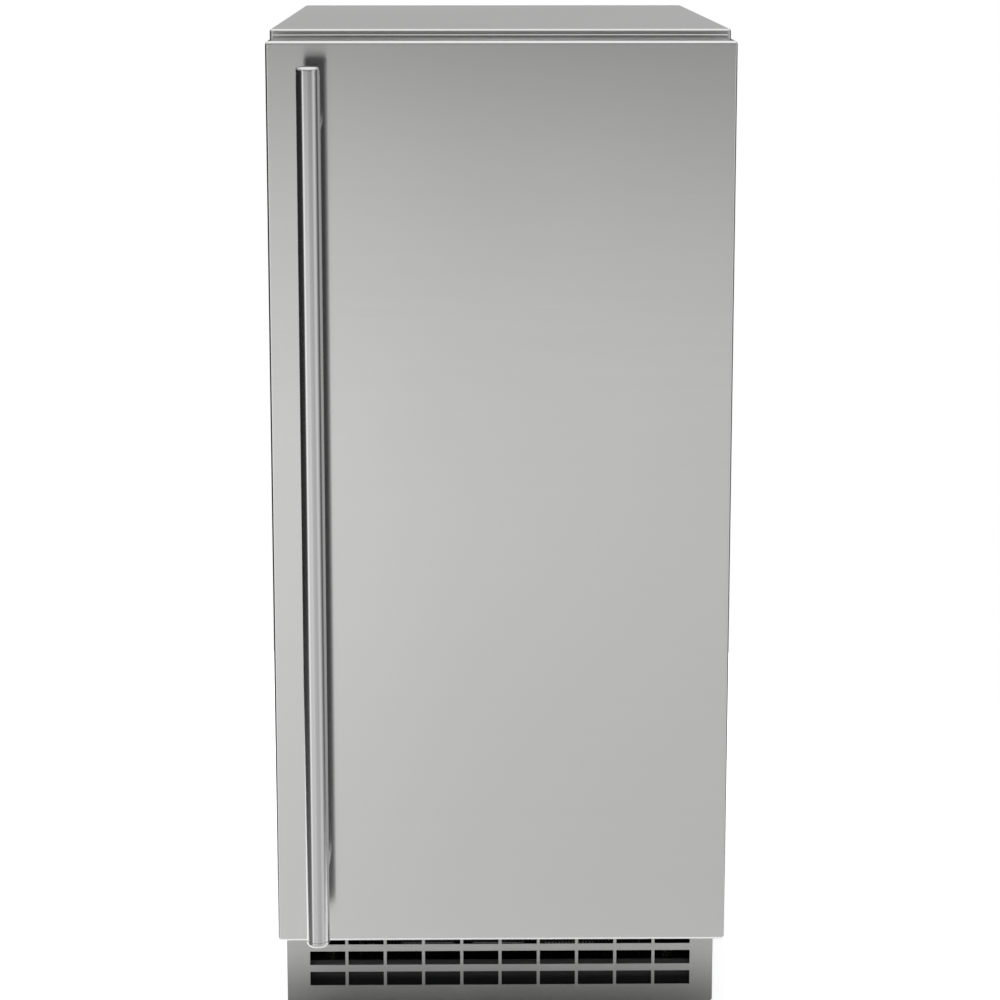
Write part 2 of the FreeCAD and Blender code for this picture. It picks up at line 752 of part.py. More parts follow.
def inlet_valve():
    x_range = (feed_x - 15, feed_x + 15)
    body = rounded_block(x_range, (290.0, connection_base_y), (192.0, 218.0), 4.0)
    coil = rod((feed_x, feed_y, 158.0), (feed_x, feed_y, 193.0), 14.0)
    outlet = rod((feed_x, feed_y, 216.0), (feed_x, feed_y, 226.0), 6.0)
    tip = ((feed_x, 310.0, water_inlet_z), (feed_x, connection_tip_y, water_inlet_z))
    inlet = rod(tip[0], tip[1], water_inlet_radius)
    bore = rod(tip[0], (feed_x, connection_tip_y + 1, water_inlet_z), 3.5)
    return join([body, coil, outlet, inlet]).cut(bore)


def water_feed_tube():
    points = [(feed_x, feed_y, 226.0), (feed_x, feed_y, feed_z)]
    points += [(feed_x, 110.0, feed_z), (feed_x, 110.0, 622.0)]
    return bent_tube(points, line_radius, 1.0, 15.0)


def drain_pump():
    x = drain_x
    body = rod((x, 235.0, 26.0), (x, 235.0, 92.0), 28.0)
    body = body.makeFillet(5.0, edges_at(body, z_axis, 92.0))
    foot = rounded_block((x - 34, x + 34), (201.0, 269.0), (base_z + base_sheet, 28.0), 8.0)
    inlet = ring((x, 235.0, 90.0), (x, 235.0, 104.0), 8.0, 5.5)
    pipe = rod((x, 235.0, drain_z), (x, connection_base_y, drain_z), drain_pipe_radius)
    outlet = rod((x, connection_base_y - 1, drain_z), (x, connection_tip_y, drain_z), drain_outlet_radius)
    bore = rod((x, 300.0, drain_z), (x, connection_tip_y + 1, drain_z), drain_outlet_radius - 2)
    return join([body, foot, inlet, pipe, outlet]).cut(bore)


def drain_tube():
    points = [(feed_x, 40.0, 280.0), (feed_x, 40.0, 240.0), (drain_x, 150.0, 225.0)]
    points += [(drain_x, 235.0, 180.0), (drain_x, 235.0, 104.0)]
    return bent_tube(points, 9.0, 1.5, 22.0)


# ---- Controls, light and scoop ----

def control_bezel():
    y_range = (bezel_front_y, bezel_front_y + bezel_thickness)
    plate = rounded_block(both_sides(bezel_x), y_range, (bezel_bottom_z, bezel_top_z), 5.0, y_axis)
    plate = plate.makeFillet(1.2, edges_at(plate, y_axis, bezel_front_y))
    cuts = []
    for x in (power_button_x, clean_button_x):
        cuts.append(rod((x, -215, control_z), (x, -200, control_z), button_radius + 0.35))
    for x in lens_places:
        cuts.append(rod((x, -215, control_z), (x, -200, control_z), lens_radius + 0.05))
    return remove(plate, cuts)


def control_housing():
    front = bezel_front_y + bezel_thickness + gap
    z_range = (bezel_bottom_z + 1, bezel_top_z - 0.5)
    outer = block(both_sides(bezel_x - 0.5), (front, housing_back_y), z_range)
    wall = 2.0
    inner_z = (z_range[0] + wall, z_range[1] - wall)
    inner = block(both_sides(bezel_x - 0.5 - wall), (front + wall, housing_back_y + 1), inner_z)
    ceiling_z = bin_top_z - bin_wall - 0.1
    posts = [rod((x, -170.0, z_range[1] - 1), (x, -170.0, ceiling_z), 5.0) for x in (-100, 100)]
    cuts = []
    for x in (power_button_x, clean_button_x):
        cuts.append(rod((x, -210, control_z), (x, -200, control_z), button_stem_radius + running_gap))
    return remove(join([outer.cut(inner)] + posts), cuts)


def push_button(x):
    cap = rod((x, -211.5, control_z), (x, -207.0, control_z), button_radius)
    cap = cap.makeFillet(1.2, edges_at(cap, y_axis, -211.5))
    return join([cap, rod((x, -208.0, control_z), (x, -192.0, control_z), button_stem_radius)])


def status_lenses():
    lenses = []
    for x in lens_places:
        lens = rod((x, bezel_front_y - 0.8, control_z), (x, bezel_front_y + 3.8, control_z), lens_radius)
        lenses.append(lens.makeFillet(0.6, edges_at(lens, y_axis, bezel_front_y - 0.8)))
    return Part.Compound(lenses)


def light_lens():
    wall = bin_x - bin_wall - 0.1
    lens = block((wall - 4, wall), (-165.0, -145.0), (470.0, 620.0))
    return lens.makeFillet(3.0, edges_at(lens, x_axis, wall - 4))


def bin_sensor():
    wall = bin_x - bin_wall - 0.1
    base = rounded_block((wall - 6, wall), (50.0, 80.0), (588.0, 612.0), 4.0, x_axis)
    return join([base, rod((wall - 7, 65.0, 600.0), (wall - 30, 65.0, 600.0), 3.0)])


def scoop_holder():
    wall = -(bin_x - bin_wall - 0.1)
    outer = rounded_block((wall, holder_x), holder_y, holder_z, 6.0)
    x_range = (wall + holder_wall, holder_x - holder_wall)
    y_range = (holder_y[0] + holder_wall, holder_y[1] - holder_wall)
    inner = rounded_block(x_range, y_range, (holder_z[0] + holder_wall, holder_z[1] + 1), 4.0)
    return outer.cut(inner)


def ice_scoop():
    x_range = (-145.0, -107.0)
    y_range = (-149.0, -81.0)
    z_range = (holder_z[0] + holder_wall + 0.3, 455.0)
    wall = 2.0
    bowl = block(x_range, y_range, z_range)
    bowl = bowl.makeFillet(22.0, [e for e in edges_along(bowl, z_axis) if e.Vertexes[0].X < -140])
    inner_y = (y_range[0] + wall, y_range[1] - wall)
    hollow = block((x_range[0] + wall, x_range[1] + 1), inner_y, (z_range[0] - 1, z_range[1] - wall))
    hollow = hollow.makeFillet(20.0, [e for e in edges_along(hollow, z_axis) if e.Vertexes[0].X < -140])
    grip = rounded_block((-134.0, -120.0), (-127.0, -103.0), (450.0, 547.0), 6.0)
    grip = grip.makeFillet(3.0, edges_at(grip, z_axis, 547.0))
    return join([bowl, grip]).cut(hollow)


# ---- Hinges and door ----

def hinge_bracket(arm_z, plate_side, pin_end_z):
    plate_y = (cabinet_front_y - hinge_plate_thickness, cabinet_front_y)
    plate = rounded_block((170.0, 187.0), plate_y, (arm_z - 27, arm_z + 27), 2.0, y_axis)
    x_range = (hinge_x - hinge_arm_half, hinge_x + hinge_arm_half)
    z_range = (arm_z, arm_z + hinge_arm_thickness)
    arm = block(x_range, (hinge_y, cabinet_front_y - 1), z_range)
    end = rod((hinge_x, hinge_y, z_range[0]), (hinge_x, hinge_y, z_range[1]), hinge_arm_half)
    pin = rod((hinge_x, hinge_y, z_range[plate_side]), (hinge_x, hinge_y, pin_end_z), hinge_pin_radius)
    return join([plate, arm, end, pin])


def hinge_brackets():
    upper = hinge_bracket(upper_arm_z, 0, upper_arm_z - 19)
    lower = hinge_bracket(lower_arm_z, 1, lower_arm_z + hinge_arm_thickness + 19)
    return Part.Compound([upper, lower])


def hinge_cuts():
    # A pocket open to the back and to the right for each arm, and a round seat for its bushing.
    cuts = []
    for arm_z, outward in ((upper_arm_z, -1), (lower_arm_z, 1)):
        low = arm_z - hinge_pocket
        high = arm_z + hinge_arm_thickness + hinge_pocket
        cuts.append(block((165.0, 190.0), (-273.0, -225.0), (low, high)))
        seat = low if outward < 0 else high
        end = seat + outward * (bushing_length + 0.2)
        cuts.append(rod((hinge_x, hinge_y, seat), (hinge_x, hinge_y, end), bushing_radius + 0.1))
    return cuts


def hinge_bushings():
    upper = upper_arm_z - hinge_pocket
    lower = lower_arm_z + hinge_arm_thickness + hinge_pocket
    bore = hinge_pin_radius + running_gap
    middle = (hinge_x, hinge_y)
    first = ring((*middle, upper - bushing_length), (*middle, upper - 0.1), bushing_radius, bore)
    second = ring((*middle, lower + 0.1), (*middle, lower + bushing_length), bushing_radius, bore)
    return Part.Compound([first, second])


def handle_screw_cuts(radius, y_range):
    levels = (handle_bottom_z + standoff_inset, handle_top_z - standoff_inset)
    return [rod((handle_x, y_range[0], z), (handle_x, y_range[1], z), radius) for z in levels]


def door_skin():
    y_range = (door_front_y, door_back_y)
    outer = rounded_block(both_sides(half_width), y_range, (door_bottom_z, door_top_z), 3.0, y_axis)
    outer = outer.makeFillet(2.5, edges_at(outer, y_axis, door_front_y))
    inner_z = (door_bottom_z + side_sheet, door_top_z - side_sheet)
    inner_y = (door_front_y + side_sheet, door_back_y + 1)
    inner = rounded_block(both_sides(half_width - side_sheet), inner_y, inner_z, 2.0, y_axis)
    inner = inner.makeFillet(1.5, edges_at(inner, y_axis, inner_y[0]))
    return remove(outer, [inner] + hinge_cuts() + handle_screw_cuts(2.7, (-280, -270)))


def door_foam():
    inset = side_sheet + 0.1
    y_range = (door_front_y + inset, -232.0)
    z_range = (door_bottom_z + inset, door_top_z - inset)
    fill = rounded_block(both_sides(half_width - inset), y_range, z_range, 2.0, y_axis)
    fill = fill.makeFillet(1.5, edges_at(fill, y_axis, y_range[0]))
    return remove(fill, hinge_cuts() + handle_screw_cuts(5.5, (-280, -270)))


def door_liner():
    inset = side_sheet + gap
    x = half_width - inset
    z_range = (door_bottom_z + inset, door_top_z - inset)
    plate = rounded_block(both_sides(x), (-231.9, -228.9), z_range, 2.0, y_axis)
    raised = rounded_block(both_sides(146.0), (-230.0, -221.0), (142.0, 811.0), 14.0, y_axis)
    raised = raised.makeFillet(4.0, edges_at(raised, y_axis, -221.0))
    recess = rounded_block(both_sides(126.0), (-226.0, -220.0), (162.0, 791.0), 10.0, y_axis)
    return remove(join([plate, raised]), [recess] + hinge_cuts())


def door_gasket():
    y_range = (-228.9, cabinet_front_y - 0.4)
    outer = rounded_block(both_sides(168.0), y_range, (118.0, 832.0), 6.0, y_axis)
    outer = outer.makeFillet(3.0, edges_at(outer, y_axis, y_range[1]))
    inner = rounded_block(both_sides(152.0), (y_range[0] - 1, y_range[1] + 1), (134.0, 816.0), 4.0, y_axis)
    return outer.cut(inner)


def handle_bar():
    bar = rod((handle_x, handle_y, handle_bottom_z), (handle_x, handle_y, handle_top_z), handle_radius)
    bar = bar.makeFillet(3.0, edges_at(bar, z_axis, handle_bottom_z) + edges_at(bar, z_axis, handle_top_z))
    groove_inset = 5.0
    cuts = []
    for z in (handle_bottom_z + groove_inset, handle_top_z - groove_inset):
        ends = ((handle_x, handle_y, z - 0.35), (handle_x, handle_y, z + 0.35))
        cuts.append(ring(ends[0], ends[1], handle_radius + 1, handle_radius - 0.5))
    return remove(bar, cuts)


def handle_standoffs():
    solids = []
    for z in (handle_bottom_z + standoff_inset, handle_top_z - standoff_inset):
        post = rod((handle_x, handle_y, z), (handle_x, door_front_y - 0.1, z), standoff_radius)
        bar = rod((handle_x, handle_y, z - 30), (handle_x, handle_y, z + 30), handle_radius + 0.05)
        thread = rod((handle_x, -296.0, z), (handle_x, -270.0, z), 2.6)
        solids.append(remove(post, [bar, thread]))
    return Part.Compound(solids)


def handle_screws():
    screws = []
    for z in (handle_bottom_z + standoff_inset, handle_top_z - standoff_inset):
        head = rod((handle_x, door_front_y + side_sheet, z), (handle_x, -271.5, z), 5.0)
        screws.append(join([head, rod((handle_x, -292.0, z), (handle_x, -272.0, z), 2.5)]))
    return Part.Compound(screws)


right_side = side_panel()
pieces = {
    "top_panel": top_panel(),
    "side_panel_right": right_side,
    "side_panel_left": mirrored(right_side),
    "back_panel": back_panel(),
    "rear_cover": rear_cover(),
    "cabinet_screws": cabinet_screws(),
    "cord_gland": cord_gland(),
    "front_frame": front_frame(),
    "lower_front_panel": lower_front_panel(),
    "kick_grille": kick_grille(),
    "bin_liner": bin_liner(),
    "cabinet_foam": cabinet_foam(),
    "base_pan": base_pan(),
    "compressor": compressor(),
    "compressor_grommets": compressor_grommets(),
    "terminal_cover": terminal_cover(),
    "condenser_core": condenser_core(),
    "condenser_tubes": condenser_tubes(),
    "fan_shroud": fan_shroud(),
    "fan_motor": fan_motor(),
    "fan_blade": fan_blade(),
    "filter_drier": filter_drier(),
    "discharge_line": discharge_line(),
    "liquid_line": liquid_line(),
    "suction_line": suction_line(),
    "evaporator_grid": evaporator_grid(),
    "evaporator_tubing": evaporator_tubing(),
    "evaporator_frame": evaporator_frame(),
    "water_distributor": water_distributor(),
    "water_trough": water_trough(),
    "pump_body": pump_body(),
    "pump_impeller": pump_impeller(),
    "recirculation_hose": recirculation_hose(),
    "water_curtain": water_curtain(),
    "inlet_valve": inlet_valve(),
    "water_feed_tube": water_feed_tube(),
    "drain_pump": drain_pump(),
    "drain_tube": drain_tube(),
    "control_bezel": control_bezel(),
    "control_housing": control_housing(),
    "power_button": push_button(power_button_x),
    "clean_button": push_button(clean_button_x),
    "status_lenses": status_lenses(),
    "light_lens": light_lens(),
    "bin_sensor": bin_sensor(),
    "scoop_holder": scoop_holder(),
    "ice_scoop": ice_scoop(),
    "hinge_brackets": hinge_brackets(),
    "hinge_bushings": hinge_bushings(),
    "door_skin": door_skin(),
    "door_foam": door_foam(),
    "door_liner": door_liner(),
    "door_gasket": door_gasket(),
    "handle_bar": handle_bar(),
    "handle_standoffs": handle_standoffs(),
    "handle_screws": handle_screws(),
}
leg_names = ["front_left", "front_right", "rear_left", "rear_right"]
legs = [leveling_leg(x, y) for x, y in leg_places]

os.makedirs("parts", exist_ok=True)
for name, shape in pieces.items():
    save(name, shape)
for name, leg in zip(leg_names, legs):
    save("leg_" + name, leg)
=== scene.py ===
import math

import bmesh
import bpy
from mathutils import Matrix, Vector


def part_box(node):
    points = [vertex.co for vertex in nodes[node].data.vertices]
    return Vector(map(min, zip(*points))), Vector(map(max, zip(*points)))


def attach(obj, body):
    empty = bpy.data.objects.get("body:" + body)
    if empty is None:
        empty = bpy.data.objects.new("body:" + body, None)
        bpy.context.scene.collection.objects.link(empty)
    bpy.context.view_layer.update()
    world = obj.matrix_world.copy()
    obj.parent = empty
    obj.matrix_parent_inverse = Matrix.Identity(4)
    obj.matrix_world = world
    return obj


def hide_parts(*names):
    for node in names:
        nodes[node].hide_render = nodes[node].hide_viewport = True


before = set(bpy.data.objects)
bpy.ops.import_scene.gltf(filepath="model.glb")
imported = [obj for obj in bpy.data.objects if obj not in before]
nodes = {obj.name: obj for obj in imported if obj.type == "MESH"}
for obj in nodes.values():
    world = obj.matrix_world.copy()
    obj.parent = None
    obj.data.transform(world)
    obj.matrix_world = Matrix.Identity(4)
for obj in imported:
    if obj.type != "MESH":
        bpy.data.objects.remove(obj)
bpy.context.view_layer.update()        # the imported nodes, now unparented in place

scene = bpy.context.scene
print("frame loaded with", len(nodes), "nodes")


# Shader trees, written as sums

class Wire:
    # One output socket. Arithmetic on it adds Math nodes to the tree it belongs to.
    def __init__(self, tree, socket):
        self.tree = tree
        self.socket = socket

    def math(self, operation, *others):
        return self.tree.add("ShaderNodeMath", {"operation": operation}, dict(enumerate((self,) + others)))

    def __add__(self, other):
        return self.math("ADD", other)

    __radd__ = __add__

    def __sub__(self, other):
        return self.math("SUBTRACT", other)

    def __rsub__(self, other):
        return self.tree.add("ShaderNodeMath", {"operation": "SUBTRACT"}, {0: other, 1: self})

    def __mul__(self, other):
        return self.math("MULTIPLY", other)

    __rmul__ = __mul__

    def __truediv__(self, other):
        return self.math("DIVIDE", other)

    def smoothed(self, low, high):
        values = {"Value": self, "From Min": low, "From Max": high}
        return self.tree.add("ShaderNodeMapRange", {"interpolation_type": "SMOOTHSTEP"}, values)


class ShaderTree:
    def __init__(self, nodeTree):
        self.nodeTree = nodeTree

    def plug(self, socket, value):
        if isinstance(value, Wire):
            self.nodeTree.links.new(value.socket, socket)
        elif isinstance(value, tuple) and len(socket.default_value) > len(value):
            socket.default_value = (*value, 1.0)
        else:
            socket.default_value = value

    def add(self, kind, settings, values, output=0):
        node = self.nodeTree.nodes.new(kind)
        for name, value in settings.items():
            if name == "stops":
                self.spread(node.color_ramp, value)
            else:
                setattr(node, name, value)
        for name, value in values.items():
            self.plug(node.inputs[name], value)
        return Wire(self, node.outputs[output])

    def spread(self, ramp, stops):
        while len(ramp.elements) < len(stops):
            ramp.elements.new(0.5)
        for element, (place, level) in zip(ramp.elements, stops):
            element.position = place
            element.color = (level, level, level, 1.0)

    def ramp(self, value, stops):
        return self.add("ShaderNodeValToRGB", {"stops": stops}, {"Fac": value})

    def mix(self, share, first, second):
        return self.add("ShaderNodeMix", {"data_type": "RGBA"}, {0: share, 6: first, 7: second}, 2)

    def multiplied(self, first, second):
        settings = {"data_type": "RGBA", "blend_type": "MULTIPLY"}
        return self.add("ShaderNodeMix", settings, {0: 1.0, 6: first, 7: second}, 2)

    def parts(self, vector):
        return [self.add("ShaderNodeSeparateXYZ", {}, {"Vector": vector}, axis) for axis in "XYZ"]


class Finish(ShaderTree):
    # A material under construction: one shader, and whatever patterns feed it.
    def __init__(self, name, **constants):
        self.material = bpy.data.materials.new(name)
        self.material.use_nodes = True
        super().__init__(self.material.node_tree)
        self.shader = self.nodeTree.nodes["Principled BSDF"]
        self.set(**constants)

    def set(self, **values):
        for name, value in values.items():
            self.plug(self.shader.inputs[name.replace("_", " ")], value)

    def place(self, stretch=(1, 1, 1)):
        # Object coordinates in metres, stretched along each axis
        point = self.add("ShaderNodeTexCoord", {}, {}, "Object")
        return self.add("ShaderNodeMapping", {}, {"Vector": point, "Scale": stretch})

    def noise(self, scale, stretch=(1, 1, 1), detail=3.0, roughness=0.55):
        values = {"Vector": self.place(stretch), "Scale": scale, "Detail": detail, "Roughness": roughness}
        return self.add("ShaderNodeTexNoise", {}, values, "Fac")

    def cells(self, scale, output="Distance"):
        return self.add("ShaderNodeTexVoronoi", {}, {"Vector": self.place(), "Scale": scale}, output)

    def tinted(self, share, color, low, high):
        # The colour between a darker and a lighter version of itself
        dark = tuple(c * low for c in color)
        light = tuple(min(1.0, c * high) for c in color)
        return self.mix(share, dark, light)

    def bump(self, height, depth, strength=1.0):
        values = {"Height": height, "Distance": depth, "Strength": strength}
        self.set(Normal=self.add("ShaderNodeBump", {}, values))


# Finishes, each a plain function of its settings

brushedSettings = {
    "color": (0.60, 0.60, 0.595),
    "roughness": 0.145,
    "stretchedShine": 0.95,
    "lineLength": 7.0,        # noise cells per metre along the grain
    "linesPerMetre": 2600.0,
    "lineDepth": 0.000004,
    "bandLength": 1.2,
    "bandsPerMetre": 90.0,
}


def brushedLines(finish):
    s = brushedSettings
    return finish.noise(1.0, (s["lineLength"], s["linesPerMetre"], s["linesPerMetre"]), 2.0, 0.6)


def brushedSteel(name, quarterTurn, color=None, roughness=None, shine=None, tone=0.03):
    # Long lines along X; the shine spreads across them
    s = brushedSettings
    color = color or s["color"]
    roughness = roughness or s["roughness"]
    shine = s["stretchedShine"] if shine is None else shine
    finish = Finish(name, Metallic=1.0, Anisotropic=shine, Anisotropic_Rotation=quarterTurn)
    lines = brushedLines(finish)
    bands = finish.noise(1.0, (s["bandLength"], s["bandsPerMetre"], s["bandsPerMetre"]), 2.0, 0.5)
    cloud = finish.noise(3.0, detail=2.0)
    finish.set(Base_Color=finish.tinted(lines * 0.6 + bands * 0.4, color, 1 - tone, 1 + tone))
    finish.set(Roughness=(lines - 0.5) * 0.05 + (cloud - 0.5) * 0.04 + roughness)
    finish.bump(lines, s["lineDepth"], 0.6)
    return finish.material


grilleSettings = {
    # Darker than the door steel: painted shade for the recess under the door
    "color": (0.37, 0.37, 0.365),
    "floorShadeColor": (0.09, 0.09, 0.087),
    "floorShadeTop": 0.075,         # the height at which the painted shade towards the floor has faded out
    "floorShadeShare": 0.72,
    "stretchedShine": 0.7,
    "roughness": 0.3,
}


def grilleSteel(name):
    # The same brushed sheet, coloured darker than the door steel as painted shade from its recess under the
    # door, and darker still towards the floor as painted shade broken up by noise
    s = grilleSettings
    finish = Finish(name, Metallic=1.0, Anisotropic=s["stretchedShine"], Anisotropic_Rotation=0.25)
    lines = brushedLines(finish)
    height = finish.parts(finish.place())[2]
    # Painted shade: strongest at the floor and fading out with height, broken up by noise
    floorShade = finish.noise(9.0, (1, 1, 0.4), 4.0) * 0.3 + 1.0 - height.smoothed(0.0, s["floorShadeTop"])
    grainedSteel = finish.tinted(lines, s["color"], 0.93, 1.07)
    finish.set(Base_Color=finish.mix(floorShade * s["floorShadeShare"] - 0.05, grainedSteel, s["floorShadeColor"]))
    finish.set(Roughness=(lines - 0.5) * 0.05 + floorShade * 0.05 + s["roughness"])
    finish.bump(lines, brushedSettings["lineDepth"], 0.6)
    return finish.material


barSettings = {
    "color": (0.55, 0.55, 0.55),
    "doorSideShadeColor": (0.1, 0.1, 0.1),
    "doorSideShadeFrom": -0.334,       # the painted shade on the side towards the door starts and ends at these depths
    "doorSideShadeTo": -0.3265,
    "ringsPerMetre": 3200.0,
    "ringDepth": 0.000003,
    "stretchedShine": 0.8,
    "roughness": 0.17,
}


def polishedBar(name, doorSideShading):
    # Drawn and polished round bar: fine rings round it, a long bright shine along it.
    # The side towards the door is painted dark as shade, so its mirror image in the door reads dark.
    s = barSettings
    finish = Finish(name, Metallic=1.0, Anisotropic=s["stretchedShine"], Anisotropic_Rotation=0.25)
    rings = finish.noise(1.0, (40.0, 40.0, s["ringsPerMetre"]), 2.0, 0.6)
    cloud = finish.noise(9.0, detail=2.0)
    # Painted shade: the side towards the door is darkened
    doorSideShade = finish.parts(finish.place())[1].smoothed(s["doorSideShadeFrom"], s["doorSideShadeTo"]) * doorSideShading
    bright = finish.tinted(rings * 0.5 + cloud * 0.5, s["color"], 0.97, 1.03)
    finish.set(Base_Color=finish.mix(doorSideShade, bright, s["doorSideShadeColor"]))
    finish.set(Roughness=(rings - 0.5) * 0.05 + (cloud - 0.5) * 0.05 + doorSideShade * 0.15 + s["roughness"])
    finish.bump(rings, s["ringDepth"], 0.5)
    return finish.material


def paintedSheet(name, color, roughness=0.42):
    # Powder coat with a fine orange peel
    finish = Finish(name, Metallic=0.0, Specular_IOR_Level=0.5)
    peel = finish.noise(900.0, detail=2.0)
    cloud = finish.noise(6.0, detail=3.0)
    finish.set(Base_Color=finish.tinted(cloud, color, 0.93, 1.07))
    finish.set(Roughness=(peel - 0.5) * 0.12 + (cloud - 0.5) * 0.06 + roughness)
    finish.bump(peel, 0.00006, 0.5)
    return finish.material


zincSettings = {
    "color": (0.56, 0.57, 0.58),
    "crystalsPerMetre": 130.0,
    "roughness": 0.42,
}


def zincSheet(name):
    # Hot dipped sheet: crystals of slightly different grey
    s = zincSettings
    finish = Finish(name, Metallic=1.0)
    crystal = finish.parts(finish.cells(s["crystalsPerMetre"], "Color"))[0]
    cloud = finish.noise(14.0, detail=4.0)
    finish.set(Base_Color=finish.tinted(crystal * 0.6 + cloud * 0.4, s["color"], 0.86, 1.1))
    finish.set(Roughness=(crystal - 0.5) * 0.08 + (cloud - 0.5) * 0.06 + s["roughness"])
    finish.bump(cloud, 0.0001, 0.3)
    return finish.material


def screwSteel(name):
    finish = Finish(name, Metallic=1.0)
    scratches = finish.noise(700.0, (1, 1, 4), 3.0)
    cloud = finish.noise(120.0, detail=2.0)
    finish.set(Base_Color=finish.tinted(cloud, (0.66, 0.66, 0.63), 0.85, 1.1))
    finish.set(Roughness=(scratches - 0.5) * 0.2 + 0.28)
    finish.bump(scratches, 0.00003, 0.3)
    return finish.material


def rigidFoam(name):
    finish = Finish(name, Roughness=0.9, Specular_IOR_Level=0.2)
    pores = finish.cells(900.0)
    cloud = finish.noise(20.0, detail=4.0)
    finish.set(Base_Color=finish.tinted(cloud * 0.6 + pores * 0.4, (0.86, 0.74, 0.48), 0.85, 1.1))
    finish.bump(pores, 0.0006, 0.8)
    return finish.material


def mouldedPlastic(name, color, roughness=0.35, grain=1400.0, depth=0.00003, spread=0.04, **constants):
    # Smooth or finely textured moulding, with slow changes of tone from the mould's flow
    finish = Finish(name, **constants)
    skin = finish.noise(grain, detail=2.0)
    flow = finish.noise(11.0, (1, 1, 0.5), 3.0)
    finish.set(Base_Color=finish.tinted(flow * 0.7 + skin * 0.3, color, 1 - spread, 1 + spread))
    finish.set(Roughness=(skin - 0.5) * 0.12 + (flow - 0.5) * 0.1 + roughness)
    finish.bump(skin, depth, 0.6)
    return finish.material


def softVinyl(name, color, roughness=0.62):
    finish = Finish(name, Specular_IOR_Level=0.35)
    skin = finish.noise(1800.0, detail=3.0)
    dust = finish.noise(25.0, detail=5.0)
    finish.set(Base_Color=finish.tinted(dust, color, 0.85, 1.35))
    finish.set(Roughness=(dust - 0.5) * 0.25 + roughness)
    finish.bump(skin, 0.00004, 0.7)
    return finish.material


def enamel(name):
    finish = Finish(name, Coat_Roughness=0.08, Coat_Weight=0.6)
    peel = finish.noise(260.0, detail=2.0)
    dust = finish.noise(18.0, detail=5.0).smoothed(0.45, 0.75)
    finish.set(Base_Color=finish.mix(dust * 0.25, (0.012, 0.012, 0.013), (0.11, 0.105, 0.1)))
    finish.set(Roughness=dust * 0.3 + 0.22)
    finish.bump(peel, 0.00015, 0.4)
    return finish.material


def blackFins(name):
    # Fins coloured near black as painted shade behind the grille slots, and grey with dust in places
    finish = Finish(name, Specular_IOR_Level=0.4)
    dust = finish.noise(60.0, detail=5.0).smoothed(0.4, 0.8)
    finish.set(Base_Color=finish.mix(dust * 0.4, (0.008, 0.008, 0.009), (0.05, 0.048, 0.045)))
    finish.set(Roughness=dust * 0.3 + 0.5)
    finish.bump(dust, 0.0001, 0.3)
    return finish.material


def drawnCopper(name):
    # Bright tube that has begun to darken in patches
    finish = Finish(name, Metallic=1.0)
    patches = finish.noise(28.0, detail=5.0).smoothed(0.42, 0.68)
    fine = finish.noise(500.0, detail=3.0)
    finish.set(Base_Color=finish.mix(patches, (0.86, 0.45, 0.28), (0.47, 0.21, 0.12)))
    finish.set(Roughness=patches * 0.2 + (fine - 0.5) * 0.1 + 0.24)
    finish.bump(fine, 0.00002, 0.4)
    return finish.material


def nickelPlate(name):
    finish = Finish(name, Metallic=1.0)
    cloud = finish.noise(40.0, detail=4.0)
    fine = finish.noise(900.0, detail=2.0)
    finish.set(Base_Color=finish.tinted(cloud, (0.74, 0.72, 0.67), 0.88, 1.06))
    finish.set(Roughness=(cloud - 0.5) * 0.14 + (fine - 0.5) * 0.08 + 0.27)
    finish.bump(fine, 0.00002, 0.3)
    return finish.material


def frostedPlastic(name):
    finish = Finish(name, Transmission_Weight=0.55, IOR=1.45)
    frost = finish.noise(1200.0, detail=2.0)
    flow = finish.noise(9.0, detail=3.0)
    finish.set(Base_Color=finish.tinted(flow, (0.78, 0.84, 0.87), 0.96, 1.04))
    finish.set(Roughness=(frost - 0.5) * 0.12 + (flow - 0.5) * 0.08 + 0.36)
    finish.bump(frost, 0.00003, 0.5)
    return finish.material


def glowingLens(name, color, glow):
    finish = Finish(name, Emission_Strength=glow, Roughness=0.3)
    ribs = finish.noise(1.0, (60.0, 900.0, 60.0), 1.0)
    finish.set(Base_Color=finish.tinted(ribs, color, 0.92, 1.06))
    finish.set(Emission_Color=finish.tinted(ribs, color, 0.9, 1.1))
    finish.bump(ribs, 0.0002, 0.5)
    return finish.material


